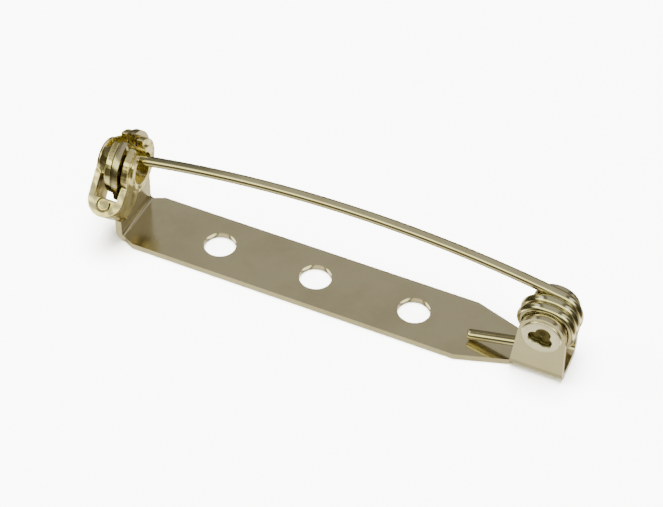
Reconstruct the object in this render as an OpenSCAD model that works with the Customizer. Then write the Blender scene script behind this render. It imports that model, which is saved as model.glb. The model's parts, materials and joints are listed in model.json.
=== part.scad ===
// Brooch pin finding: a stamped bar with three sewing holes, a riveted spring pin and a turning
// safety catch. X runs along the bar with the catch at -X and the hinge at +X, Z points away from
// the brooch, and the glue face lies at Z = 0 with the middle sewing hole at the origin.

/* [Sheet and wire] */
// Thickness of the sheet that the bar and the catch are stamped from
sheet_t = 0.5; // [0.4:0.05:0.6]
// Diameter of the pin wire
wire_d = 0.8; // [0.7:0.05:0.9]

/* [Bar] */
// Width of the bar
bar_w = 5.6; // [5:0.1:6.2]
// Length of the bar's rounded shoulders next to the bend
shoulder_len = 0.8; // [0.6:0.1:1.2]
// Distance from the middle sewing hole to the bend at the catch
catch_x = 14.9; // [13.5:0.1:17]
// Distance from the middle sewing hole to the rivet
hinge_x = 18.1; // [17:0.1:22]
// Length over which the bar narrows towards the ears
taper_len = 3.9; // [2.5:0.1:4.5]
// Diameter of a sewing hole
hole_d = 2.5; // [2:0.1:2.8]
// Distance between neighbouring sewing holes
hole_pitch = 8; // [6:0.25:8.5]

/* [Catch plate] */
// Width of the plate below its round head
plate_w = 4.8; // [4.4:0.1:5]
// Inside radius of the bend that stands the plate up
bend_r = 0.3; // [0.2:0.05:0.5]
// Height of the catch's axis above the glue face
catch_h = 6; // [5.8:0.1:7]
// Radius of the plate's round head
head_r = 2.7; // [2.6:0.1:2.9]
// Play on each side of the wire in the mouth of the catch
mouth_play = 0.125; // [0.1:0.025:0.2]

/* [Hinge] */
// Height of the rivet above the glue face
hinge_h = 4.35; // [4:0.05:4.8]
// Radius of the coil, to the middle of the wire
coil_r = 1.85; // [1.8:0.05:2]
// Gap between neighbouring turns of the coil
turn_gap = 0.05; // [0.04:0.01:0.1]
// Play between the coil and each ear
ear_play = 0.1; // [0.1:0.025:0.2]
// Half the width of an ear's foot
ear_foot = 2.05; // [2:0.05:2.3]
// Width of the ear's rim round its hole
ear_rim = 0.525; // [0.45:0.025:0.6]
// Inside radius of the folds that stand the ears up
fold_r = 0.6; // [0.3:0.05:0.8]
// Radius of the rivet's shank in the ears
shank_r = 1.2; // [1.15:0.05:1.25]
// Radius of the rivet's heads
rivet_head_r = 1.5; // [1.4:0.05:1.6]
// Thickness of the rivet's heads
rivet_head_t = 0.16; // [0.12:0.02:0.24]
// Depth of the three-lobed dimple in each rivet end
dimple_depth = 0.35; // [0.2:0.05:0.45]
// Radius of one lobe of the dimple
lobe_r = 0.55; // [0.4:0.05:0.6]
// Distance of each lobe from the rivet's axis
lobe_offset = 0.42; // [0.3:0.02:0.5]

/* [Pin stem] */
// Radius that the stem's arch is bent to
arch_r = 90; // [84:1:110]
// Length of the straight tail that presses on the bar
tail_len = 6.2; // [5:0.1:6.5]
// Gap between the tail's end and the bar
tail_gap = 0.06; // [0.04:0.01:0.12]
// Radius of the rounded point
point_r = 0.05; // [0.03:0.01:0.1]

/* [Safety catch] */
// Gap between the plate and each leaf of the catch
leaf_gap = 0.15; // [0.15:0.05:0.25]
// Radius of the inner leaf, on the pin's side
leaf_r = 2.3; // [2.1:0.1:2.6]
// Radius of the outer leaf
cover_r = 2.5; // [2.3:0.1:2.6]
// Radius of the hollow hub that the pin's point lies in
hollow_r = 1.25; // [1.2:0.05:1.3]
// Wall of the hub
hub_wall = 0.3; // [0.25:0.05:0.35]
// Width of the flared ring round the hub's mouth
ring_rim = 0.2; // [0.15:0.05:0.3]
// How far the flared ring stands proud of the inner leaf
ring_proud = 0.2; // [0.15:0.05:0.3]
// Height of the dome on the outer leaf
dome_h = 1.2; // [1:0.05:1.4]
// Thickness of the dome's top
dome_wall = 0.4; // [0.3:0.05:0.5]
// Radius of the dome at its foot
dome_r = 2.1; // [2:0.05:2.35]
// Radius of the dome's flat top, without its rounded edge
dome_top_r = 1.3; // [1.2:0.05:1.4]
// Radius of the dome's rounded edge
dome_edge_r = 0.3; // [0.2:0.05:0.35]
// Width of the thumb tab
tab_w = 2.5; // [2:0.1:2.8]
// How far the tab reaches past the plate's head
tab_overhang = 1.8; // [1.7:0.05:2]
// How far the tab's outer leg ends outside the outer leaf
tab_flare = 1.05; // [0.7:0.05:1.15]
// Radius of the sheet's edge that is curled up inside the tab's end
curl_r = 0.46; // [0.36:0.02:0.46]
// Direction of the tab about the catch's axis, from +Y towards +Z
tab_angle = 222; // [215:1:228]

/* [Hidden] */
$fn = 96;
// Running gaps of the coil on the rivet and of the rivet in and between the ears
run_gap = 0.05;
rivet_gap = 0.025;
// Room for the point across the hollow and past its end
point_play = 0.17;
tip_gap = 0.4;
// How far the catch turns, and where its notch begins and ends beyond that
catch_turn = 120;
stop_angle = 4;
swing_margin = 20;
notch_gap = 0.15;
// How far under the dome's top the tab's outer leg begins
leg_drop = 0.05;
// Gap round the curled edge in the tab's end, and the directions where it begins and ends
curl_gap = 0.1;
curl_start = -30;
curl_end = 250;
// How much thinner the stem and the crossing turns are drawn than the coil, and how far their
// ends reach into it, as a length along the stem and as an angle about the rivet
drawn_gap = 0.03;
root_len = 0.2;
cross_root = 3;
// How far a cut reaches past what it cuts
over = 1;
wire_r = wire_d / 2;
stem_r = wire_r - drawn_gap;
hub_r = hollow_r + hub_wall;
ring_r = hub_r + ring_rim;
mouth_w = wire_d + 2 * mouth_play;
root_angle = root_len / arch_r * 180 / PI;

// Places along X of the plate and the catch's layers
plate_in_x = -catch_x - bend_r;
plate_out_x = plate_in_x - sheet_t;
leaf_in_x = plate_in_x + leaf_gap + sheet_t;
ring_x = leaf_in_x + ring_proud;
cover_x = plate_out_x - leaf_gap - sheet_t;
dome_x = cover_x - dome_h;
hollow_end_x = dome_x + dome_wall;

// The flared end of the tab, which goes round the plate's edge
leg_x = dome_x + leg_drop;
flare_x = cover_x - tab_flare;
tab_end_r = (leaf_in_x - flare_x) / 2;
tab_end_x = flare_x + tab_end_r;
tab_reach = head_r + tab_overhang;
tab_end_at = tab_reach - tab_end_r;
notch_in_r = tab_end_at - notch_gap;
notch_out_r = tab_reach + notch_gap;
notch_end = tab_angle + asin(tab_w / 2 / notch_in_r) + stop_angle;
notch_start = tab_angle - catch_turn - swing_margin;

// The coil's turns, the ears and the rivet
turn_pitch = wire_d + turn_gap;
collar_r = coil_r - wire_r - run_gap;
ear_hole_r = shank_r + rivet_gap;
ear_r = ear_hole_r + ear_rim;
ear_in_y = turn_pitch + wire_r + ear_play;
ear_out_y = ear_in_y + sheet_t;
ear_start_x = hinge_x - ear_foot;
ear_end_x = hinge_x + ear_foot;
taper_x = ear_start_x - taper_len;
flat_w = 2 * ear_out_y - fold_r;
fold_out = fold_r + sheet_t;
floor_w = 2 * (ear_out_y - fold_out);
floor_x = ear_start_x + 2 * sheet_t;

// The tail slopes down until its end lies just above the bar
tail_rise = hinge_h - sheet_t - tail_gap;
tail_arm = coil_r + wire_r;
tail_slope = atan2(tail_len, tail_arm) - acos(tail_rise / norm([tail_len, tail_arm]));

// The arch is tangent to the coil and passes the catch's inner leaf at point_x, point_z
point_x = leaf_in_x - point_play / 2;
point_z = catch_h + hollow_r - wire_r - point_play;
span = norm([point_x - hinge_x, point_z - hinge_h]);
hub_dist = arch_r - coil_r;
span_dir = atan2(point_z - hinge_h, point_x - hinge_x);
arch_turn = acos((hub_dist * hub_dist + span * span - arch_r * arch_r) / (2 * hub_dist * span));
centre_dir = span_dir + arch_turn;
leave_dir = centre_dir - 180;
centre_x = hinge_x + hub_dist * cos(centre_dir);
centre_z = hinge_h + hub_dist * sin(centre_dir);
arch_angle = atan2(point_z - centre_z, point_x - centre_x) - leave_dir;
arch_lean = asin(turn_pitch / (arch_r * (1 - cos(arch_angle))));
point_slope = leave_dir + arch_angle - 90;
point_len = (point_x - hollow_end_x - tip_gap) / cos(point_slope);

// Lays a drawing of (Y, Z) flat across X, from x0 to x1
module across_x(x0, x1) {
    translate([x0, 0, 0]) rotate([90, 0, 90]) linear_extrude(x1 - x0) children();
}

// Lays a drawing of (X, Z) flat across Y, from -half to +half
module across_y(half) {
    translate([0, half, 0]) rotate([90, 0, 0]) linear_extrude(2 * half) children();
}

// A disc about the catch's axis, from x0 to x1
module catch_disc(r, x0, x1) {
    translate([x0, 0, catch_h]) rotate([0, 90, 0]) cylinder(r = r, h = x1 - x0);
}

// A pie slice about the origin that holds the directions from a0 to a1
module slice(r, a0, a1) {
    steps = 8;
    reach = 2 * r;
    rim = [for (i = [0 : steps]) reach * [cos(a0 + (a1 - a0) * i / steps), sin(a0 + (a1 - a0) * i / steps)]];
    polygon(concat([[0, 0]], rim));
}

// The flat part of the bar, narrowed towards the ears, with its sewing holes
module bar_flat() {
    difference() {
        linear_extrude(sheet_t) polygon([
            [-catch_x, -plate_w / 2],
            [-catch_x + shoulder_len, -bar_w / 2],
            [taper_x, -bar_w / 2],
            [ear_start_x, -flat_w / 2],
            [floor_x, -floor_w / 2],
            [floor_x, floor_w / 2],
            [ear_start_x, flat_w / 2],
            [taper_x, bar_w / 2],
            [-catch_x + shoulder_len, bar_w / 2],
            [-catch_x, plate_w / 2],
        ]);
        for (i = [-1 : 1]) {
            translate([i * hole_pitch, 0, -over]) cylinder(d = hole_d, h = sheet_t + 2 * over);
        }
    }
}

// The plate's outline in (Y, Z): a neck, a round head, and a notch for the tab's fold
module plate_outline() {
    difference() {
        union() {
            translate([-plate_w / 2, 0]) square([plate_w, catch_h]);
            translate([0, catch_h]) circle(r = head_r);
        }
        translate([0, catch_h]) circle(r = hub_r + run_gap);
        translate([-mouth_w / 2, catch_h]) square([mouth_w, head_r + over]);
        translate([0, catch_h]) intersection() {
            difference() {
                circle(r = notch_out_r);
                circle(r = notch_in_r);
            }
            slice(notch_out_r, notch_start, notch_end);
        }
    }
}

// The plate's side view in (X, Z): a quarter bend and the upright
module plate_side() {
    bend_out_r = bend_r + sheet_t;
    intersection() {
        translate([-catch_x, bend_out_r]) difference() {
            circle(r = bend_out_r);
            circle(r = bend_r);
        }
        translate([-catch_x - bend_out_r, 0]) square([bend_out_r, bend_out_r]);
    }
    translate([plate_out_x, bend_out_r]) square([sheet_t, catch_h + head_r]);
}

// The upright plate that carries the catch
module catch_plate() {
    intersection() {
        across_y(head_r + over) plate_side();
        across_x(plate_out_x - over, -catch_x) plate_outline();
    }
}

// The section of the hinge end in (Y, Z): a channel with rounded folds
module channel_section() {
    wall_h = hinge_h + ear_r;
    difference() {
        union() {
            translate([-ear_out_y, fold_out]) square([2 * ear_out_y, wall_h]);
            translate([-floor_w / 2, 0]) square([floor_w, fold_out]);
            for (side = [-1, 1]) translate([side * floor_w / 2, fold_out]) circle(r = fold_out);
        }
        translate([-ear_in_y, fold_out]) square([2 * ear_in_y, wall_h + over]);
        translate([-ear_in_y + fold_r, sheet_t]) square([2 * (ear_in_y - fold_r), fold_out]);
        for (side = [-1, 1]) translate([side * (ear_in_y - fold_r), fold_out]) circle(r = fold_r);
    }
}

// The ear's outline in (X, Z): straight sides from the foot to a round head, with the rivet's hole
module ear_outline() {
    lean = atan2(ear_foot, hinge_h) - asin(ear_r / norm([ear_foot, hinge_h]));
    side_x = ear_r * cos(lean);
    side_z = hinge_h + ear_r * sin(lean);
    difference() {
        translate([hinge_x, 0]) union() {
            polygon([[-ear_foot, 0], [ear_foot, 0], [side_x, side_z], [-side_x, side_z]]);
            translate([0, hinge_h]) circle(r = ear_r);
        }
        translate([hinge_x, hinge_h]) circle(r = ear_hole_r);
    }
}

// The two ears with the strip of sheet between them
module ears() {
    intersection() {
        across_x(ear_start_x, ear_end_x) channel_section();
        across_y(ear_out_y + over) ear_outline();
    }
}

// The whole stamped bar
module bar() {
    color([0.72, 0.70, 0.63]) union() {
        bar_flat();
        catch_plate();
        ears();
    }
}

// An arc of wire about -Y through its centre, from direction a0 to a1 in (X, Z)
module wire_arc(r, a0, a1, thick_r = wire_r) {
    rotate([90, 0, 0]) rotate([0, 0, a0]) rotate_extrude(angle = a1 - a0) translate([r, 0]) circle(r = thick_r);
}

// The coil about the rivet: three turns on the far side, joined by two that cross, and the tail
module coil() {
    cross_y = turn_pitch / 2;
    cross_r = norm([coil_r, cross_y]);
    cross_lean = atan2(cross_y, coil_r);
    translate([hinge_x, 0, hinge_h]) {
        translate([0, turn_pitch, 0]) wire_arc(coil_r, -90, leave_dir);
        wire_arc(coil_r, -90, 90);
        translate([0, -turn_pitch, 0]) wire_arc(coil_r, -90 + tail_slope, 90);
        for (side = [-1, 1]) translate([0, side * cross_y, 0])
            rotate([cross_lean, 0, 0]) wire_arc(cross_r, 90 - cross_root, 270 + cross_root, stem_r);
        translate([0, -turn_pitch, 0]) rotate([0, 180 - tail_slope, 0]) tail();
    }
}

// The straight tail, along +X from below the coil's middle
module tail() {
    translate([0, 0, coil_r]) rotate([0, 90, 0]) cylinder(r = wire_r, h = tail_len);
}

// The arched stem, from inside the coil's end to the end of its sharpened point
module stem() {
    translate([hinge_x, turn_pitch, hinge_h]) rotate([0, -leave_dir, 0]) translate([coil_r, 0, 0])
        rotate([0, 0, arch_lean]) translate([-arch_r, 0, 0]) {
            wire_arc(arch_r, -root_angle, arch_angle, stem_r);
            rotate([0, -arch_angle, 0]) translate([arch_r, 0, -root_len])
                cylinder(r1 = stem_r - drawn_gap, r2 = point_r, h = point_len + root_len);
        }
}

// The whole bent wire
module pin_stem() {
    color([0.80, 0.76, 0.62]) union() {
        coil();
        stem();
    }
}

// The rivet: a collar that the coil turns on, a shank in each ear, and two heads with dimples
module hinge_rivet() {
    collar_y = ear_in_y - rivet_gap;
    shank_y = ear_out_y + rivet_gap;
    end_y = shank_y + rivet_head_t;
    color([0.70, 0.66, 0.56]) translate([hinge_x, 0, hinge_h]) difference() {
        union() {
            for (step = [[collar_r, collar_y], [shank_r, shank_y]]) {
                rotate([90, 0, 0]) cylinder(r = step[0], h = 2 * step[1], center = true);
            }
            for (side = [-1, 1]) translate([0, side * (shank_y + rivet_head_t / 2), 0])
                rotate([90, 0, 0]) cylinder(r = rivet_head_r, h = rivet_head_t, center = true);
        }
        for (side = [-1, 1]) for (i = [0 : 2]) {
            rotate([0, 90 + i * 120, 0]) translate([lobe_offset, side * end_y, 0])
                rotate([90, 0, 0]) cylinder(r = lobe_r, h = 2 * dimple_depth, center = true);
        }
    }
}

// The dome's half section, with its foot on the outer leaf
module dome_section() {
    edge_h = dome_h - dome_edge_r;
    polygon([
        [0, 0],
        [dome_r, 0],
        [dome_top_r + dome_edge_r, edge_h],
        [0, edge_h],
    ]);
    translate([dome_top_r, edge_h]) intersection() {
        circle(r = dome_edge_r);
        square(dome_edge_r);
    }
    square([dome_top_r, dome_h]);
}

// The tab's strip of one leaf in (Y, Z), from the catch's axis out to reach
module tab_strip(reach) {
    translate([0, catch_h]) rotate(tab_angle) translate([0, -tab_w / 2]) square([reach, tab_w]);
}

// The tab's side in (X, distance from the axis): an outer leg off the dome and the curled round end
module tab_profile() {
    polygon([
        [leg_x, 0],
        [leg_x, dome_top_r],
        [flare_x, tab_end_at],
        [flare_x + sheet_t, tab_end_at],
        [leg_x + sheet_t, dome_top_r],
        [leg_x + sheet_t, 0],
    ]);
    translate([tab_end_x, tab_end_at]) difference() {
        intersection() {
            circle(r = tab_end_r);
            translate([-tab_end_r, 0]) square([2 * tab_end_r, tab_end_r]);
        }
        translate([0, curl_r]) intersection() {
            difference() {
                circle(r = curl_r + curl_gap);
                circle(r = curl_r);
            }
            slice(curl_r, curl_start, curl_end);
        }
    }
}

// The turning catch: two leaves joined by the tab's fold, with the hub, its ring and the dome
module safety_catch() {
    color([0.74, 0.70, 0.52]) difference() {
        union() {
            catch_disc(leaf_r, leaf_in_x - sheet_t, leaf_in_x);
            across_x(leaf_in_x - sheet_t, leaf_in_x) tab_strip(tab_end_at);
            catch_disc(cover_r, cover_x, cover_x + sheet_t);
            translate([0, 0, catch_h]) rotate([tab_angle, 0, 0]) translate([0, 0, -tab_w / 2])
                linear_extrude(tab_w) tab_profile();
            catch_disc(hub_r, cover_x, leaf_in_x);
            catch_disc(ring_r, leaf_in_x, ring_x);
            translate([cover_x, 0, catch_h]) rotate([0, -90, 0]) rotate_extrude() dome_section();
        }
        catch_disc(hollow_r, hollow_end_x, ring_x + over);
        across_x(hollow_end_x, ring_x + over) translate([-mouth_w / 2, catch_h])
            square([mouth_w, cover_r + over]);
    }
}

bar();
pin_stem();
hinge_rivet();
safety_catch();
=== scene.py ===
"""The looks of a nickel-plated brooch bar pin: sheet bar, spring wire pin, rivet and safety catch.

All lengths are in metres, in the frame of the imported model: X along the bar from the catch to the
hinge, Z away from the glue face, and the middle sewing hole at the origin.
"""

import json
import logging
import math
from dataclasses import dataclass
from enum import Enum

import bmesh
import bpy
import numpy as np
from mathutils import Matrix, Vector

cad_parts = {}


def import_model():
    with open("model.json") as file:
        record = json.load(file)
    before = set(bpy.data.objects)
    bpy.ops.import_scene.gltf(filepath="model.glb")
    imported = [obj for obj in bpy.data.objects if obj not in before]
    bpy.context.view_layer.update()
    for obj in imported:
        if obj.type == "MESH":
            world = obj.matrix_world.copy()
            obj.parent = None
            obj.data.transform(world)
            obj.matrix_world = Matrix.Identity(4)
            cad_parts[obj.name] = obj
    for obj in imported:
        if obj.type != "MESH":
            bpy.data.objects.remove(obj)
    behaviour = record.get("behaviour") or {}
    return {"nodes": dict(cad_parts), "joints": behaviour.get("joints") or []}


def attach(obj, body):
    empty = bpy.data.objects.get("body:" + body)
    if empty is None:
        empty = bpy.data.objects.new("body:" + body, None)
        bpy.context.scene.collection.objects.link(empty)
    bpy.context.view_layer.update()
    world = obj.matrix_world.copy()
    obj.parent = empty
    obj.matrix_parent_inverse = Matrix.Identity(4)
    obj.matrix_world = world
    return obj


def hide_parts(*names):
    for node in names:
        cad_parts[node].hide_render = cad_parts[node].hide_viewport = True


LOG = logging.getLogger("bar_pin")
MM = 0.001
MICRON = 1.0e-6
# Points that lie nearer to each other than this are one
WELD = 2.0 * MICRON

Triple = tuple[float, float, float]
Socket = bpy.types.NodeSocket


class Slot(Enum):
    """The record's material slots, one for each stamped or drawn piece."""

    BAR = "bar_nickel"
    WIRE = "wire_nickel"
    RIVET = "rivet_nickel"
    CATCH = "catch_nickel"


class Body(Enum):
    """The bodies that the pieces ride on."""

    BASE = "base"
    STEM = "stem"
    CATCH = "catch"


class Node(Enum):
    """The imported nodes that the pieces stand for."""

    BAR = "bar"
    WIRE = "pin_stem"
    RIVET = "hinge_rivet"
    CATCH = "safety_catch"


class Joint(Enum):
    """The joints, whose places the wire, the rivet and the painted shade are measured from."""

    STEM = "stem_swing"
    CATCH = "catch_turn"


@dataclass(frozen=True)
class NodeBoard:
    """A node tree with short ways to add nodes and to join them."""

    tree: bpy.types.NodeTree

    def add(self, kind: str, inputs: dict[str | int, object], **settings: object) -> bpy.types.Node:
        """Adds a node, makes its settings, and gives each input its value or its link.

        Args:
            kind: the node's type, without the words "ShaderNode" before it.
            inputs: a value or another node's socket for each input, by the input's name or number.
            settings: the node's own settings by name.

        Returns:
            The node.
        """
        node = self.tree.nodes.new("ShaderNode" + kind)
        for name, value in settings.items():
            setattr(node, name, value)
        for name, value in inputs.items():
            if isinstance(value, Socket):
                self.tree.links.new(value, node.inputs[name])
            else:
                node.inputs[name].default_value = value
        return node

    def place(self) -> Socket:
        """Returns the place on the piece, in metres."""
        return self.add("TexCoord", {}).outputs["Object"]

    def noise(self, place: Socket, scale: float, detail: float, roughness: float = 0.5) -> Socket:
        """Returns a cloudy value about 0.5 with scale clouds in a metre."""
        fields = {"Vector": place, "Scale": scale, "Detail": detail, "Roughness": roughness}
        return self.add("TexNoise", fields).outputs["Fac"]

    def run(self, value: Socket, start: float, end: float, low: float = 0.0, high: float = 1.0) -> Socket:
        """Runs evenly from one number to another while a value goes from start to end.

        Args:
            value: the value that is read.
            start: the value that gives low. Past it the result stays low.
            end: the value that gives high. Past it the result stays high.
            low: the result at start.
            high: the result at end.

        Returns:
            The result's socket.
        """
        fields = {"Value": value, "From Min": start, "From Max": end, "To Min": low, "To Max": high}
        return self.add("MapRange", fields).outputs["Result"]

    def product(self, first: Socket, second: Socket) -> Socket:
        """Returns one number times another."""
        return self.add("Math", {0: first, 1: second}, operation="MULTIPLY").outputs["Value"]

    def size(self, value: Socket) -> Socket:
        """Returns a number without its sign."""
        return self.add("Math", {0: value}, operation="ABSOLUTE").outputs["Value"]

    def blend(self, share: Socket, first: Socket | Triple, second: Triple) -> Socket:
        """Mixes two colours.

        Args:
            share: how much of the second colour there is, from 0 to 1.
            first: the colour at 0, or its socket.
            second: the colour at 1.

        Returns:
            The mixed colour's socket.
        """
        start = first if isinstance(first, Socket) else (*first, 1.0)
        fields = {"Factor": share, "A": start, "B": (*second, 1.0)}
        return self.add("Mix", fields, data_type="RGBA").outputs["Result"]

    def ramp(self, value: Socket, stops: tuple[tuple[float, Triple], ...]) -> Socket:
        """Looks up a colour, evenly mixed from the two stops beside a value.

        Args:
            value: a number from 0 to 1.
            stops: the colours with the values where they lie, in rising order.

        Returns:
            The colour's socket.
        """
        node = self.add("ValToRGB", {"Fac": value})
        elements = node.color_ramp.elements
        while len(elements) < len(stops):
            elements.new(0.5)
        for element, (at, colour) in zip(elements, stops):
            element.position = at
            element.color = (*colour, 1.0)
        return node.outputs["Color"]


@dataclass(frozen=True)
class NickelPlate:
    """Nickel plate with a warm tint, cloudy tarnish, a fine grain and slow swells.

    A grain that is stretched along one axis shows as drawing lines. Scales count waves in a metre.
    """

    name: str
    plate: Triple
    tarnish: Triple
    tarnish_share: float
    rough_low: float
    rough_high: float
    cloud_scale: float
    grain_scale: float
    grain_stretch: Triple
    grain_height: float
    swell_scale: float
    swell_height: float
    cloud_detail: float = 5.0
    cloud_roughness: float = 0.6
    stain_start: float = 0.45
    stain_full: float = 0.72
    grain_detail: float = 3.0
    grain_low: float = 0.3
    grain_high: float = 0.7
    grain_strength: float = 0.6
    swell_detail: float = 1.0

    def build(self) -> bpy.types.Material:
        """Makes the material.

        The clouds lay the tarnish, the grain changes the roughness and lifts the surface a little, and
        the swells bend the reflections as a hand-finished sheet does.

        Returns:
            A node material whose colour, roughness and bump read Object coordinates.
        """
        material = bpy.data.materials.new(self.name)
        material.use_nodes = True
        board = NodeBoard(material.node_tree)
        shader = material.node_tree.nodes["Principled BSDF"]
        shader.inputs["Metallic"].default_value = 1.0
        place = board.place()

        cloud = board.noise(place, self.cloud_scale, self.cloud_detail, self.cloud_roughness)
        stain = board.run(cloud, self.stain_start, self.stain_full, high=self.tarnish_share)
        tint = board.blend(stain, self.plate, self.tarnish)

        stretched = board.add("Mapping", {"Vector": place, "Scale": self.grain_stretch})
        grain = board.noise(stretched.outputs["Vector"], self.grain_scale, self.grain_detail)
        rough = board.run(grain, self.grain_low, self.grain_high, self.rough_low, self.rough_high)
        lift = {"Strength": self.grain_strength, "Distance": self.grain_height, "Height": grain}
        fine = board.add("Bump", lift).outputs["Normal"]

        swell = board.noise(place, self.swell_scale, self.swell_detail)
        wave = {"Strength": 1.0, "Distance": self.swell_height, "Height": swell, "Normal": fine}
        normal = board.add("Bump", wave).outputs["Normal"]

        for name, socket in (("Base Color", tint), ("Roughness", rough), ("Normal", normal)):
            board.tree.links.new(socket, shader.inputs[name])
        return material


@dataclass(frozen=True)
class Axle:
    """A line through a place, along X or Y, from which the painted shade is measured.

    In across the two directions square to the line are 1 and its own is 0.
    """

    centre: Triple
    across: Triple

    def offset(self, board: NodeBoard) -> Socket:
        """Returns the way from the axle's centre to the place on the piece."""
        fields = {0: board.place(), 1: self.centre}
        return board.add("VectorMath", fields, operation="SUBTRACT").outputs["Vector"]

    def distance(self, board: NodeBoard) -> Socket:
        """Works out how far the place on the piece lies from the line.

        Args:
            board: the finish's nodes.

        Returns:
            The length of the offset without its part along the line.
        """
        fields = {0: self.offset(board), 1: self.across}
        flat = board.add("VectorMath", fields, operation="MULTIPLY").outputs["Vector"]
        return board.add("VectorMath", {0: flat}, operation="LENGTH").outputs["Value"]


@dataclass(frozen=True)
class PaintedDimpleShade:
    """Painted shade in the rivet's dimples: a dark colour near its axis and below its heads' faces, where
    the recess lies in shade.
    """

    axle: Axle
    reach: float = 1.12 * MM
    fade: float = 0.12 * MM
    top_y: float = 1.97 * MM
    low_y: float = 1.80 * MM
    # The dark colour of the painted shade in the dimples.
    colour: Triple = (0.135, 0.115, 0.052)
    roughness: float = 0.42

    def share(self, board: NodeBoard) -> Socket:
        """Works out how much painted shade lies at each place.

        Args:
            board: the finish's nodes.

        Returns:
            A value that is 1 in the dimples and 0 outside them.
        """
        near = board.run(self.axle.distance(board), self.reach, self.reach - self.fade)
        along = board.add("SeparateXYZ", {"Vector": self.axle.offset(board)}).outputs["Y"]
        deep = board.run(board.size(along), self.top_y, self.low_y)
        return board.product(near, deep)


@dataclass(frozen=True)
class PaintedCreviceShade:
    """Painted shade in the catch's folds and slot: a dark colour laid by ambient occlusion, where its own
    walls shut out the sky.

    The painted shade stops at a set distance from the line that the catch turns about, so that the tab's
    end stays bright.
    """

    axle: Axle
    reach: float = 1.4 * MM
    samples: int = 24
    open: float = 0.55
    shut: float = 0.22
    share_most: float = 0.95
    shade_stop_r: float = 3.45 * MM
    shade_stop_fade: float = 0.25 * MM
    # The dark colour of the painted shade in the folds and the slot.
    colour: Triple = (0.20, 0.15, 0.09)
    roughness: float = 0.40

    def share(self, board: NodeBoard) -> Socket:
        """Works out how much painted shade lies at each place.

        Args:
            board: the finish's nodes.

        Returns:
            A value that rises to share_most in the deepest folds and is 0 in the open.
        """
        fields = {"Distance": self.reach}
        # Ambient occlusion decides where the painted shade lies.
        sky = board.add("AmbientOcclusion", fields, samples=self.samples, only_local=True).outputs["AO"]
        fold = board.run(sky, self.shut, self.open, self.share_most, 0.0)
        near = board.run(self.axle.distance(board), self.shade_stop_r, self.shade_stop_r - self.shade_stop_fade)
        return board.product(fold, near)


def lay_painted_shade(material: bpy.types.Material, tarnish: PaintedDimpleShade | PaintedCreviceShade) -> None:
    """Mixes painted shade, a dark colour, into a finish's colour and roughness.

    Args:
        material: the finish.
        tarnish: the painted shade, which says where it lies.
    """
    board = NodeBoard(material.node_tree)
    shader = material.node_tree.nodes["Principled BSDF"]
    # The share of painted shade at each place.
    share = tarnish.share(board)
    clean = shader.inputs["Base Color"].links[0].from_socket
    board.tree.links.new(board.blend(share, clean, tarnish.colour), shader.inputs["Base Color"])
    smooth = shader.inputs["Roughness"].links[0].from_socket
    rough = board.add("Mix", {"Factor": share, "A": smooth, "B": tarnish.roughness})
    board.tree.links.new(rough.outputs["Result"], shader.inputs["Roughness"])


BAR_PLATE = NickelPlate(
    name="bar_plate",
    plate=(0.605, 0.555, 0.405),
    tarnish=(0.47, 0.42, 0.29),
    tarnish_share=0.55,
    rough_low=0.15,
    rough_high=0.20,
    cloud_scale=220.0,
    grain_scale=3400.0,
    grain_stretch=(0.5, 1.0, 1.0),
    grain_height=0.8 * MICRON,
    swell_scale=220.0,
    swell_height=4.0 * MICRON,
)
WIRE_PLATE = NickelPlate(
    name="wire_plate",
    plate=(0.64, 0.61, 0.43),
    tarnish=(0.52, 0.42, 0.25),
    tarnish_share=0.5,
    rough_low=0.08,
    rough_high=0.15,
    cloud_scale=420.0,
    grain_scale=1800.0,
    grain_stretch=(0.15, 1.0, 1.0),
    grain_height=1.0 * MICRON,
    swell_scale=500.0,
    swell_height=12.0 * MICRON,
)
RIVET_PLATE = NickelPlate(
    name="rivet_plate",
    plate=(0.98, 0.945, 0.80),
    tarnish=(0.50, 0.42, 0.27),
    tarnish_share=0.45,
    rough_low=0.20,
    rough_high=0.34,
    cloud_scale=700.0,
    grain_scale=2600.0,
    grain_stretch=(1.0, 1.0, 1.0),
    grain_height=1.5 * MICRON,
    swell_scale=600.0,
    swell_height=20.0 * MICRON,
)
CATCH_PLATE = NickelPlate(
    name="catch_plate",
    plate=(0.98, 0.91, 0.55),
    tarnish=(0.52, 0.43, 0.18),
    tarnish_share=0.6,
    rough_low=0.13,
    rough_high=0.24,
    cloud_scale=480.0,
    grain_scale=1600.0,
    grain_stretch=(1.0, 1.0, 1.0),
    grain_height=1.5 * MICRON,
    swell_scale=900.0,
    swell_height=150.0 * MICRON,
)


def smoothstep(x: np.ndarray) -> np.ndarray:
    """Returns 3x^2 - 2x^3 of x held between 0 and 1, an even rise with flat ends."""
    x = np.clip(x, 0.0, 1.0)
    return x * x * (3.0 - 2.0 * x)


def unit(vectors: np.ndarray) -> np.ndarray:
    """Returns the row vectors at length one."""
    return vectors / np.linalg.norm(vectors, axis=-1, keepdims=True)


def wrapped_quads(rings: int, spokes: int) -> np.ndarray:
    """Numbers the quads of a stack of rings, each of which closes on its first point.

    Args:
        rings: how many rings of points there are.
        spokes: how many points one ring has.

    Returns:
        An array of four point numbers a face, each face turned the same way.
    """
    low = np.arange(rings - 1)[:, None] * spokes
    here = np.arange(spokes)[None, :]
    right = (here + 1) % spokes
    corners = (low + spokes + here, low + spokes + right, low + right, low + here)
    return np.stack(corners, axis=-1).reshape(-1, 4)


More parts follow.
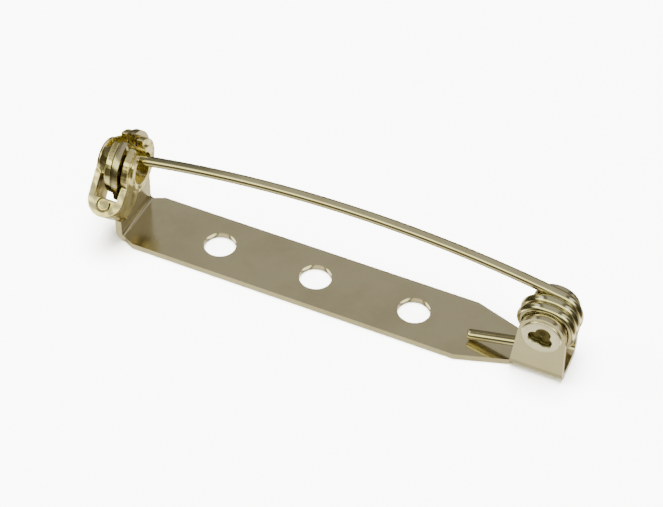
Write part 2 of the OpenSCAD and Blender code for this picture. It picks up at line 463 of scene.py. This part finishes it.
def closed_tube(
    rings: np.ndarray, first: np.ndarray, last: np.ndarray
) -> tuple[np.ndarray, list[list[int]]]:
    """Closes a stack of rings with a fan at each end.

    Args:
        rings: the points as ring, spoke, coordinate. Each ring turns to the right about the path.
        first: the middle of the first ring's end.
        last: the middle of the last ring's end.

    Returns:
        The points and the faces, which point outwards.
    """
    count, sides = rings.shape[:2]
    points = np.concatenate([rings.reshape(-1, 3), first[None], last[None]])
    here = np.arange(sides)
    after = (here + 1) % sides
    low = (count - 1) * sides
    start_fan = np.stack([here, after, np.full(sides, count * sides)], 1)
    end_fan = np.stack([low + after, low + here, np.full(sides, count * sides + 1)], 1)
    return points, wrapped_quads(count, sides).tolist() + start_fan.tolist() + end_fan.tolist()


def link_mesh(name: str, mesh: bpy.types.Mesh, material: bpy.types.Material) -> bpy.types.Object:
    """Puts a mesh into the scene, smooth-shaded and with one finish.

    Args:
        name: the piece's name.
        mesh: its mesh, with its place in it.
        material: the finish.

    Returns:
        The new object, which sits at the origin.
    """
    mesh.materials.append(material)
    mesh.shade_smooth()
    piece = bpy.data.objects.new(name, mesh)
    bpy.context.scene.collection.objects.link(piece)
    return piece


def make_piece(
    name: str, points: np.ndarray, faces: list[list[int]], material: bpy.types.Material
) -> bpy.types.Object:
    """Makes a piece from its points and faces.

    Args:
        name: the piece's name.
        points: one row of X, Y, Z for each vertex, in metres.
        faces: the vertex numbers of each face, which run to the left as seen from outside.
        material: the finish.

    Returns:
        The new object.
    """
    mesh = bpy.data.meshes.new(name)
    mesh.from_pydata(points.tolist(), [], faces)
    mesh.validate()
    return link_mesh(name, mesh, material)


def stand_for(piece: bpy.types.Object, node: Node, body: Body) -> None:
    """Tells the frame what a finished piece stands for.

    Args:
        piece: the finished piece.
        node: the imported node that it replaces.
        body: the body that it rides on.
    """
    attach(piece, body.value)
    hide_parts(node.value)


@dataclass(frozen=True)
class BentWire:
    """The pin: one wire with a tail, two and a half turns round the rivet, an arch and a point.

    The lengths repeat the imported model's own. Directions are angles in the plane of X and Z. tail_run
    and point_run are the shares of those stretches' lengths where their even rings begin and end. Each
    pair of tail_end and point_end is a share of the length and the share of the radius there.
    """

    hinge: Triple
    wire_r: float = 0.4 * MM
    point_r: float = 0.05 * MM
    coil_r: float = 1.85 * MM
    turn_pitch: float = 0.85 * MM
    arch_r: float = 90.0 * MM
    tail_len: float = 6.2 * MM
    tail_drop: float = 3.79 * MM
    point_x: float = -14.635 * MM
    point_z: float = 6.68 * MM
    point_len: float = 2.12 * MM
    taper_bend: float = 0.8
    tail_end: tuple[tuple[float, float], ...] = ((1.0, 0.72), (0.998, 0.88), (0.99, 0.97), (0.975, 1.0))
    point_end: tuple[tuple[float, float], ...] = ((0.985, 1.0), (0.996, 0.75), (1.0, 0.3))
    tail_run: tuple[float, float] = (0.95, 0.03)
    point_run: tuple[float, float] = (0.04, 0.96)
    tail_steps: int = 14
    turn_steps: int = 56
    arch_steps: int = 150
    point_steps: int = 24
    sides: int = 40

    def arch_angles(self) -> tuple[float, float, float]:
        """Works out how the arch leaves the coil.

        The arch's centre lies arch_r - coil_r from the rivet, so that both circles touch, and arch_r
        from the point's root.

        Returns:
            The direction at which the stem leaves the coil, the arch's angle and its lean in radians.
        """
        hinge_x, _, hinge_z = self.hinge
        across, up = self.point_x - hinge_x, self.point_z - hinge_z
        span, reach = math.hypot(across, up), self.arch_r - self.coil_r
        turn = math.acos((reach**2 + span**2 - self.arch_r**2) / (2.0 * reach * span))
        centre = math.atan2(up, across) + turn
        leave = centre - math.pi
        centre_x = hinge_x + reach * math.cos(centre)
        centre_z = hinge_z + reach * math.sin(centre)
        angle = math.atan2(self.point_z - centre_z, self.point_x - centre_x) - leave
        lean = math.asin(self.turn_pitch / (self.arch_r * (1.0 - math.cos(angle))))
        return leave, angle, lean

    def turn(self, start: float, end: float, y: float) -> np.ndarray:
        """Works out part of the coil's circle about the rivet.

        Args:
            start: the direction of its first point.
            end: the direction of its last point.
            y: the place of its plane along the rivet.

        Returns:
            The points.
        """
        a = np.linspace(start, end, self.turn_steps)
        offset = np.stack([self.coil_r * np.cos(a), np.full_like(a, y), self.coil_r * np.sin(a)], 1)
        return np.array(self.hinge) + offset

    def crossing(self, y: float) -> np.ndarray:
        """Works out the half circle that crosses from one turn's top to the next turn's bottom.

        Its plane holds the rivet's X direction and leans by half a pitch over the coil's radius.

        Args:
            y: the place of its middle along the rivet.

        Returns:
            The points.
        """
        half = self.turn_pitch / 2.0
        a = np.linspace(math.pi / 2.0, 1.5 * math.pi, self.turn_steps)
        radius, lean = math.hypot(self.coil_r, half), math.atan2(half, self.coil_r)
        across, up = radius * np.cos(a), radius * np.sin(a)
        return np.array(self.hinge) + np.stack([across, y - up * math.sin(lean), up * math.cos(lean)], 1)

    def arch(self) -> np.ndarray:
        """Works out the stem's arc, which starts along the coil's tangent and leans sideways.

        A point at the angle t lies arch_r times sin t ahead and arch_r times 1 - cos t inwards.

        Returns:
            The points from the coil to the point's root.
        """
        leave, angle, lean = self.arch_angles()
        out = np.array([math.cos(leave), 0.0, math.sin(leave)])
        along = np.array([-math.sin(leave), 0.0, math.cos(leave)])
        sideways = np.array([0.0, 1.0, 0.0])
        root = np.array(self.hinge) + self.turn_pitch * sideways + self.coil_r * out
        inwards = -math.cos(lean) * out - math.sin(lean) * sideways
        t = np.linspace(0.0, angle, self.arch_steps)[:, None]
        return root + self.arch_r * (np.sin(t) * along + (1.0 - np.cos(t)) * inwards)

    def coil(self) -> tuple[np.ndarray, float]:
        """Works out the turns about the rivet from the tail's root to the stem's root.

        Returns:
            The points, and the tail's slope in radians.
        """
        leave, _, _ = self.arch_angles()
        arm = self.coil_r + self.wire_r
        slope = math.atan2(self.tail_len, arm) - math.acos(self.tail_drop / math.hypot(self.tail_len, arm))
        quarter, pitch = math.pi / 2.0, self.turn_pitch
        parts = [
            self.turn(-quarter + slope, quarter, -pitch)[:-1],
            self.crossing(-pitch / 2.0)[:-1],
            self.turn(-quarter, quarter, 0.0)[:-1],
            self.crossing(pitch / 2.0)[:-1],
            self.turn(-quarter, leave, pitch)[:-1],
        ]
        return np.concatenate(parts), slope

    def centre_line(self) -> tuple[np.ndarray, np.ndarray]:
        """Works out the wire's middle from the tail's end to the point, and its radius there.

        The point thins as the share of its length that is still to go, to the power taper_bend.

        Returns:
            The points and the radii, one a ring.
        """
        coil, slope = self.coil()
        tail_end, point_end = np.array(self.tail_end), np.array(self.point_end)
        tail_share = np.concatenate([tail_end[:, 0], np.linspace(*self.tail_run, self.tail_steps)])
        back = np.array([-math.cos(slope), 0.0, -math.sin(slope)])
        tail = coil[0] + back * self.tail_len * tail_share[:, None]
        arch = self.arch()
        ahead = unit(arch[-1] - arch[-2])
        point_share = np.concatenate([np.linspace(*self.point_run, self.point_steps), point_end[:, 0]])
        point = arch[-1] + ahead * self.point_len * point_share[:, None]
        line = np.concatenate([tail, coil, arch, point])
        radii = np.full(len(line), self.wire_r)
        radii[: len(tail_end)] *= tail_end[:, 1]
        taper = self.point_r + (self.wire_r - self.point_r) * (1.0 - point_share) ** self.taper_bend
        taper[-len(point_end) :] = self.point_r * point_end[:, 1]
        radii[-len(point) :] = taper
        return line, radii

    def build(self, material: bpy.types.Material) -> bpy.types.Object:
        """Carries a circle along the wire's middle and closes both ends.

        Each ring lies square to the path, with its first spoke as near to Y as it can be.

        Args:
            material: the wire's finish.

        Returns:
            The wire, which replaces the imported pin.
        """
        line, radii = self.centre_line()
        along = unit(np.gradient(line, axis=0))
        spoke = unit(np.array([0.0, 1.0, 0.0]) - along * along[:, 1:2])
        other = np.cross(along, spoke)
        a = np.linspace(0.0, 2.0 * math.pi, self.sides, endpoint=False)
        ring = np.cos(a)[None, :, None] * spoke[:, None, :] - np.sin(a)[None, :, None] * other[:, None, :]
        rings = line[:, None, :] + radii[:, None, None] * ring
        points, faces = closed_tube(rings, line[0], line[-1])
        piece = make_piece("bent_wire", points, faces, material)
        stand_for(piece, Node.WIRE, Body.STEM)
        return piece


@dataclass(frozen=True)
class DimpledRivet:
    """The hinge rivet: a collar between the ears, a shank in each and a low head with a dimple."""

    centre: Triple
    head_r: float = 1.5 * MM
    shank_r: float = 1.2 * MM
    collar_r: float = 1.4 * MM
    end_y: float = 2.035 * MM
    seat_y: float = 1.875 * MM
    collar_y: float = 1.325 * MM
    rim_r: float = 0.13 * MM
    crown: float = 0.06 * MM
    lobe_r: float = 0.55 * MM
    lobe_offset: float = 0.42 * MM
    lobe_turn: float = math.radians(15.0)
    depth: float = 0.36 * MM
    wall_run: float = 0.16 * MM
    wall_lead: float = 0.3
    stud: float = 0.14 * MM
    stud_r: float = 0.26 * MM
    sharp: float = math.radians(50.0)
    first_ring: float = 0.015
    face_rings: int = 60
    rim_rings: int = 9
    around: int = 144

    def lobe_reach(self, angles: np.ndarray) -> np.ndarray:
        """Works out how far the union of three round lobes reaches from the axis.

        A lobe's outline lies at offset times cos a, plus the root of lobe_r^2 - (offset times sin a)^2,
        where a is the angle from the middle of that lobe.

        Args:
            angles: the directions of the spokes.

        Returns:
            The distance in each direction, to the outline of the nearest lobe.
        """
        third = 2.0 * math.pi / 3.0
        off = (angles - math.pi / 2.0 - self.lobe_turn + third / 2.0) % third - third / 2.0
        side = self.lobe_offset * np.sin(off)
        return self.lobe_offset * np.cos(off) + np.sqrt(self.lobe_r**2 - side**2)

    def half_profile(self, angles: np.ndarray) -> tuple[np.ndarray, np.ndarray]:
        """Works out one half of the rivet on a grid of rings and spokes, from the head's middle in.

        The head is a low crown. Its dimple falls along a smooth step that follows the lobes' outline,
        round a small bell-shaped stud. A quarter round forms the rim, and straight rings step down to
        the shank and the collar.

        Args:
            angles: the directions of the spokes.

        Returns:
            The distances from the axis and the heights along it, ring by ring.
        """
        flat, every = self.head_r - self.rim_r, np.ones_like(angles)
        face = np.linspace(self.first_ring, 1.0, self.face_rings)[:, None] * flat * every
        fall = smoothstep((self.lobe_reach(angles)[None, :] - face) / self.wall_run + self.wall_lead)
        stud = self.stud * np.exp(-((face / self.stud_r) ** 2))
        top = self.end_y - self.crown * (face / self.head_r) ** 2 - self.depth * fall + stud
        turn = np.linspace(0.0, math.pi / 2.0, self.rim_rings)[1:, None]
        rim = flat + self.rim_r * np.sin(turn) * every
        rim_top = self.end_y - self.crown * (flat / self.head_r) ** 2
        rim_y = rim_top - self.rim_r * (1.0 - np.cos(turn)) * every
        steps_r = np.array([self.head_r, self.shank_r, self.shank_r, self.collar_r])[:, None] * every
        steps_y = np.array([self.seat_y, self.seat_y, self.collar_y, self.collar_y])[:, None] * every
        return np.concatenate([face, rim, steps_r]), np.concatenate([top, rim_y, steps_y])

    def build(self, material: bpy.types.Material) -> bpy.types.Object:
        """Joins the half to its mirror image.

        Args:
            material: the rivet's finish.

        Returns:
            The rivet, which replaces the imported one.
        """
        a = np.linspace(0.0, 2.0 * math.pi, self.around, endpoint=False)
        out, up = self.half_profile(a)
        out = np.concatenate([out, out[::-1]])
        y = np.concatenate([up, -up[::-1]])
        centre = np.array(self.centre)
        rings = centre + np.stack([-out * np.cos(a), y, out * np.sin(a)], -1)
        ends = [centre + np.array([0.0, side, 0.0]) for side in (y[0].mean(), y[-1].mean())]
        points, faces = closed_tube(rings, ends[0], ends[1])
        piece = make_piece("dimpled_rivet", points, faces, material)
        piece.data.set_sharp_from_angle(angle=self.sharp)
        stand_for(piece, Node.RIVET, Body.BASE)
        return piece


def welded_copy(source: bpy.types.Object, name: str, flat_angle: float = 0.0) -> bpy.types.Mesh:
    """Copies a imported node's loose triangles and merges them into closed shells that face outwards.

    Args:
        source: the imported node.
        name: the copy's name.
        flat_angle: faces that lie within this angle of each other become one. At 0 none do.

    Returns:
        The copy.
    """
    work = bmesh.new()
    work.from_mesh(source.data)
    bmesh.ops.remove_doubles(work, verts=work.verts, dist=WELD)
    if flat_angle:
        bmesh.ops.dissolve_limit(
            work, angle_limit=flat_angle, verts=work.verts, edges=work.edges, delimit={"NORMAL"}
        )
    bmesh.ops.recalc_face_normals(work, faces=work.faces)
    mesh = bpy.data.meshes.new(name)
    work.to_mesh(mesh)
    work.free()
    return mesh


@dataclass(frozen=True)
class StampedBar:
    """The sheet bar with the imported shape, its sharp edges broken to small round ones."""

    edge_r: float = 0.09 * MM
    edge_steps: int = 3
    sharp: float = math.radians(40.0)
    flat: float = math.radians(0.5)
    flat_weight: int = 100

    def build(self, source: bpy.types.Object, material: bpy.types.Material) -> bpy.types.Object:
        """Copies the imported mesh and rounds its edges.

        Args:
            source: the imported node.
            material: the finish.

        Returns:
            The bar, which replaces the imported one.
        """
        piece = link_mesh("stamped_bar", welded_copy(source, "stamped_bar", self.flat), material)
        bevel = piece.modifiers.new("edge", "BEVEL")
        bevel.width = self.edge_r
        bevel.segments = self.edge_steps
        bevel.limit_method = "ANGLE"
        bevel.angle_limit = self.sharp
        bevel.use_clamp_overlap = True
        flats = piece.modifiers.new("flats", "WEIGHTED_NORMAL")
        flats.weight = self.flat_weight
        flats.keep_sharp = False
        stand_for(piece, Node.BAR, Body.BASE)
        return piece


@dataclass(frozen=True)
class FoldedCatch:
    """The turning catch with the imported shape, worn and plated until all its edges are soft."""

    cell: float = 0.033 * MM
    smoothing: float = 0.5
    smooth_steps: int = 12
    kept_share: float = 0.52

    def build(self, source: bpy.types.Object, material: bpy.types.Material) -> bpy.types.Object:
        """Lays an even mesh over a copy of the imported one, smooths it and thins it.

        Args:
            source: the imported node.
            material: the finish.

        Returns:
            The catch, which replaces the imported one.
        """
        piece = link_mesh("turning_catch", welded_copy(source, "turning_catch"), material)
        even = piece.modifiers.new("even", "REMESH")
        even.mode = "VOXEL"
        even.voxel_size = self.cell
        even.use_smooth_shade = True
        soft = piece.modifiers.new("soft", "SMOOTH")
        soft.factor = self.smoothing
        soft.iterations = self.smooth_steps
        thin = piece.modifiers.new("thin", "DECIMATE")
        thin.ratio = self.kept_share
        stand_for(piece, Node.CATCH, Body.CATCH)
        return piece


@dataclass(frozen=True)
class PhotoView:
    """The photograph's camera: its place and direction from the part, found from the bar's holes."""

    pitch: float = math.radians(45.0)
    roll: float = math.radians(9.24)
    yaw: float = math.radians(-12.2)
    distance: float = 133.6 * MM
    shift_x: float = -14.7 * MM
    shift_y: float = -8.6 * MM
    sensor: float = 36.0
    lens: float = 92.0
    nearest: float = 5.0 * MM
    aim: Triple = (1.2 * MM, 0.0, 3.6 * MM)

    def to_part(self, vector: np.ndarray) -> np.ndarray:
        """Returns a vector of the table's frame turned into the part's frame."""
        c, s = math.cos(self.yaw), math.sin(self.yaw)
        return np.array([c * vector[0] + s * vector[1], -s * vector[0] + c * vector[1], vector[2]])

    def build(self) -> bpy.types.Object:
        """Places the camera where the photograph was taken and aims it at the part's middle.

        Returns:
            The scene's camera.
        """
        ahead = np.array([0.0, math.cos(self.pitch), -math.sin(self.pitch)])
        level = np.array([1.0, 0.0, 0.0])
        upright = np.array([0.0, math.sin(self.pitch), math.cos(self.pitch)])
        up = self.to_part(-math.sin(self.roll) * level + math.cos(self.roll) * upright)
        place = self.to_part(-self.distance * ahead - np.array([self.shift_x, self.shift_y, 0.0]))
        look = unit(np.array(self.aim) - place)
        right = unit(np.cross(look, up))
        above = np.cross(right, look)
        turn = Matrix([[right[i], above[i], -look[i]] for i in range(3)]).to_4x4()
        data = bpy.data.cameras.new("photo_camera")
        data.sensor_width = self.sensor
        data.lens = self.lens
        data.clip_start = self.nearest
        camera = bpy.data.objects.new("photo_camera", data)
        camera.matrix_world = Matrix.Translation(Vector(place)) @ turn
        bpy.context.scene.collection.objects.link(camera)
        bpy.context.scene.camera = camera
        return camera


@dataclass(frozen=True)
class SoftBox:
    """A rectangular studio lamp that faces the part and doesn't show in its reflections."""

    name: str
    place: Triple
    size: tuple[float, float]
    power: float
    aim: Triple = (0.0, 0.0, 4.0 * MM)

    def build(self) -> bpy.types.Object:
        """Hangs the lamp in its place and turns it towards the part's middle.

        Returns:
            The lamp.
        """
        data = bpy.data.lights.new(self.name, "AREA")
        data.shape = "RECTANGLE"
        data.size, data.size_y = self.size
        data.energy = self.power
        lamp = bpy.data.objects.new(self.name, data)
        lamp.location = self.place
        lamp.rotation_euler = (Vector(self.aim) - Vector(self.place)).to_track_quat("-Z", "Y").to_euler()
        lamp.visible_glossy = False
        bpy.context.scene.collection.objects.link(lamp)
        return lamp


@dataclass(frozen=True)
class PaleFloor:
    """The plain white floor under the glue face."""

    half: float = 0.6
    drop: float = 0.02 * MM
    colour: Triple = (0.97, 0.97, 0.965)
    roughness: float = 0.9
    gloss: float = 0.1

    def build(self) -> bpy.types.Object:
        """Lays a square that the part stands on, just below its glue face.

        Returns:
            The floor.
        """
        material = bpy.data.materials.new("pale_floor")
        material.use_nodes = True
        shader = material.node_tree.nodes["Principled BSDF"]
        shader.inputs["Base Color"].default_value = (*self.colour, 1.0)
        shader.inputs["Roughness"].default_value = self.roughness
        shader.inputs["Specular IOR Level"].default_value = self.gloss
        signs = np.array([[-1.0, -1.0], [1.0, -1.0], [1.0, 1.0], [-1.0, 1.0]])
        corners = np.column_stack([self.half * signs, np.full(4, -self.drop)])
        board = make_piece("floor", corners, [[0, 1, 2, 3]], material)
        board.visible_glossy = False
        return board


@dataclass(frozen=True)
class MirroredRoom:
    """The light that the metal mirrors, by direction.

    levels runs over height, from 0 straight down to 1 straight up: a pale table, a dark wall and a
    grey ceiling. panels runs over how far a direction points along X, and multiplies the levels: dark
    gaps and bright panels to the left and right. A warm window in front is added, over the heights
    where window is 1, and it fades in between the two front values of Y.
    """

    levels: tuple[tuple[float, Triple], ...] = (
        (0.0, (0.80, 0.74, 0.48)),
        (0.08, (1.00, 0.94, 0.66)),
        (0.15, (1.52, 1.43, 0.98)),
        (0.20, (1.25, 1.15, 0.80)),
        (0.30, (0.46, 0.41, 0.25)),
        (0.42, (0.10, 0.088, 0.05)),
        (0.54, (0.13, 0.115, 0.07)),
        (0.68, (0.34, 0.32, 0.25)),
        (0.80, (0.54, 0.515, 0.42)),
        (0.91, (0.575, 0.55, 0.455)),
        (0.96, (0.62, 0.59, 0.48)),
        (1.0, (0.62, 0.59, 0.48)),
    )
    panels: tuple[tuple[float, float], ...] = (
        (0.0, 1.0),
        (0.40, 1.0),
        (0.48, 0.4),
        (0.60, 0.3),
        (0.66, 2.6),
        (0.80, 2.6),
        (0.86, 0.3),
        (1.0, 0.6),
    )
    window: tuple[tuple[float, float], ...] = (
        (0.0, 0.0),
        (0.62, 0.0),
        (0.67, 1.0),
        (0.80, 1.0),
        (0.845, 0.05),
        (1.0, 0.0),
    )
    window_colour: Triple = (2.6, 2.5, 1.25)
    front: tuple[float, float] = (-0.15, -0.40)

    def build(self) -> None:
        """Makes the room the scene's world."""
        world = bpy.data.worlds.new("studio_room")
        world.use_nodes = True
        bpy.context.scene.world = world
        board = NodeBoard(world.node_tree)
        direction = board.add("TexCoord", {}).outputs["Generated"]
        split = board.add("SeparateXYZ", {"Vector": direction}).outputs
        height = board.run(split["Z"], -1.0, 1.0)
        greys = tuple((at, (grey, grey, grey)) for at, grey in self.panels)
        red, green, blue = self.window_colour
        glow = tuple((at, (share * red, share * green, share * blue)) for at, share in self.window)
        fields = {0: board.ramp(height, self.levels), 1: board.ramp(board.size(split["X"]), greys)}
        walls = board.add("VectorMath", fields, operation="MULTIPLY").outputs["Vector"]
        fields = {0: board.ramp(height, glow), "Scale": board.run(split["Y"], *self.front)}
        pane = board.add("VectorMath", fields, operation="SCALE").outputs["Vector"]
        light = board.add("VectorMath", {0: walls, 1: pane}, operation="ADD").outputs["Vector"]
        board.tree.links.new(light, board.tree.nodes["Background"].inputs["Color"])


@dataclass(frozen=True)
class Studio:
    """The floor, the soft lamps that light it and the room that the metal mirrors."""

    floor: PaleFloor = PaleFloor()
    room: MirroredRoom = MirroredRoom()
    lamps: tuple[SoftBox, ...] = (
        SoftBox("lamp_top", (-0.04, 0.02, 0.50), (0.40, 0.30), 26.0),
        SoftBox("lamp_left", (-0.40, -0.10, 0.24), (0.10, 0.30), 2.0),
        SoftBox("lamp_right", (0.36, -0.16, 0.30), (0.08, 0.24), 1.2),
    )

    def build(self) -> None:
        """Builds the floor, the lamps and the room."""
        self.floor.build()
        for lamp in self.lamps:
            lamp.build()
        self.room.build()


def main() -> None:
    """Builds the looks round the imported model."""
    logging.basicConfig(level=logging.INFO)
    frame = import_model()
    nodes = frame["nodes"]
    joints = {joint["name"]: tuple(joint["pos_m"]) for joint in frame["joints"]}
    hinge, pivot = joints[Joint.STEM.value], joints[Joint.CATCH.value]
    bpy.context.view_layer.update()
    PhotoView().build()
    Studio().build()
    bar_plate, wire_plate = BAR_PLATE.build(), WIRE_PLATE.build()
    rivet_plate, catch_plate = RIVET_PLATE.build(), CATCH_PLATE.build()
    # Painted shade in the rivet's dimples and in the catch's folds and slot.
    lay_painted_shade(rivet_plate, PaintedDimpleShade(Axle(hinge, across=(1.0, 0.0, 1.0))))
    lay_painted_shade(catch_plate, PaintedCreviceShade(Axle(pivot, across=(0.0, 1.0, 1.0))))
    pieces = [
        StampedBar().build(nodes[Node.BAR.value], bar_plate),
        FoldedCatch().build(nodes[Node.CATCH.value], catch_plate),
        BentWire(hinge).build(wire_plate),
        DimpledRivet(hinge).build(rivet_plate),
    ]
    for piece in pieces:
        LOG.info("%s: %d vertices", piece.name, len(piece.data.vertices))


if __name__ == "__main__":
    main()
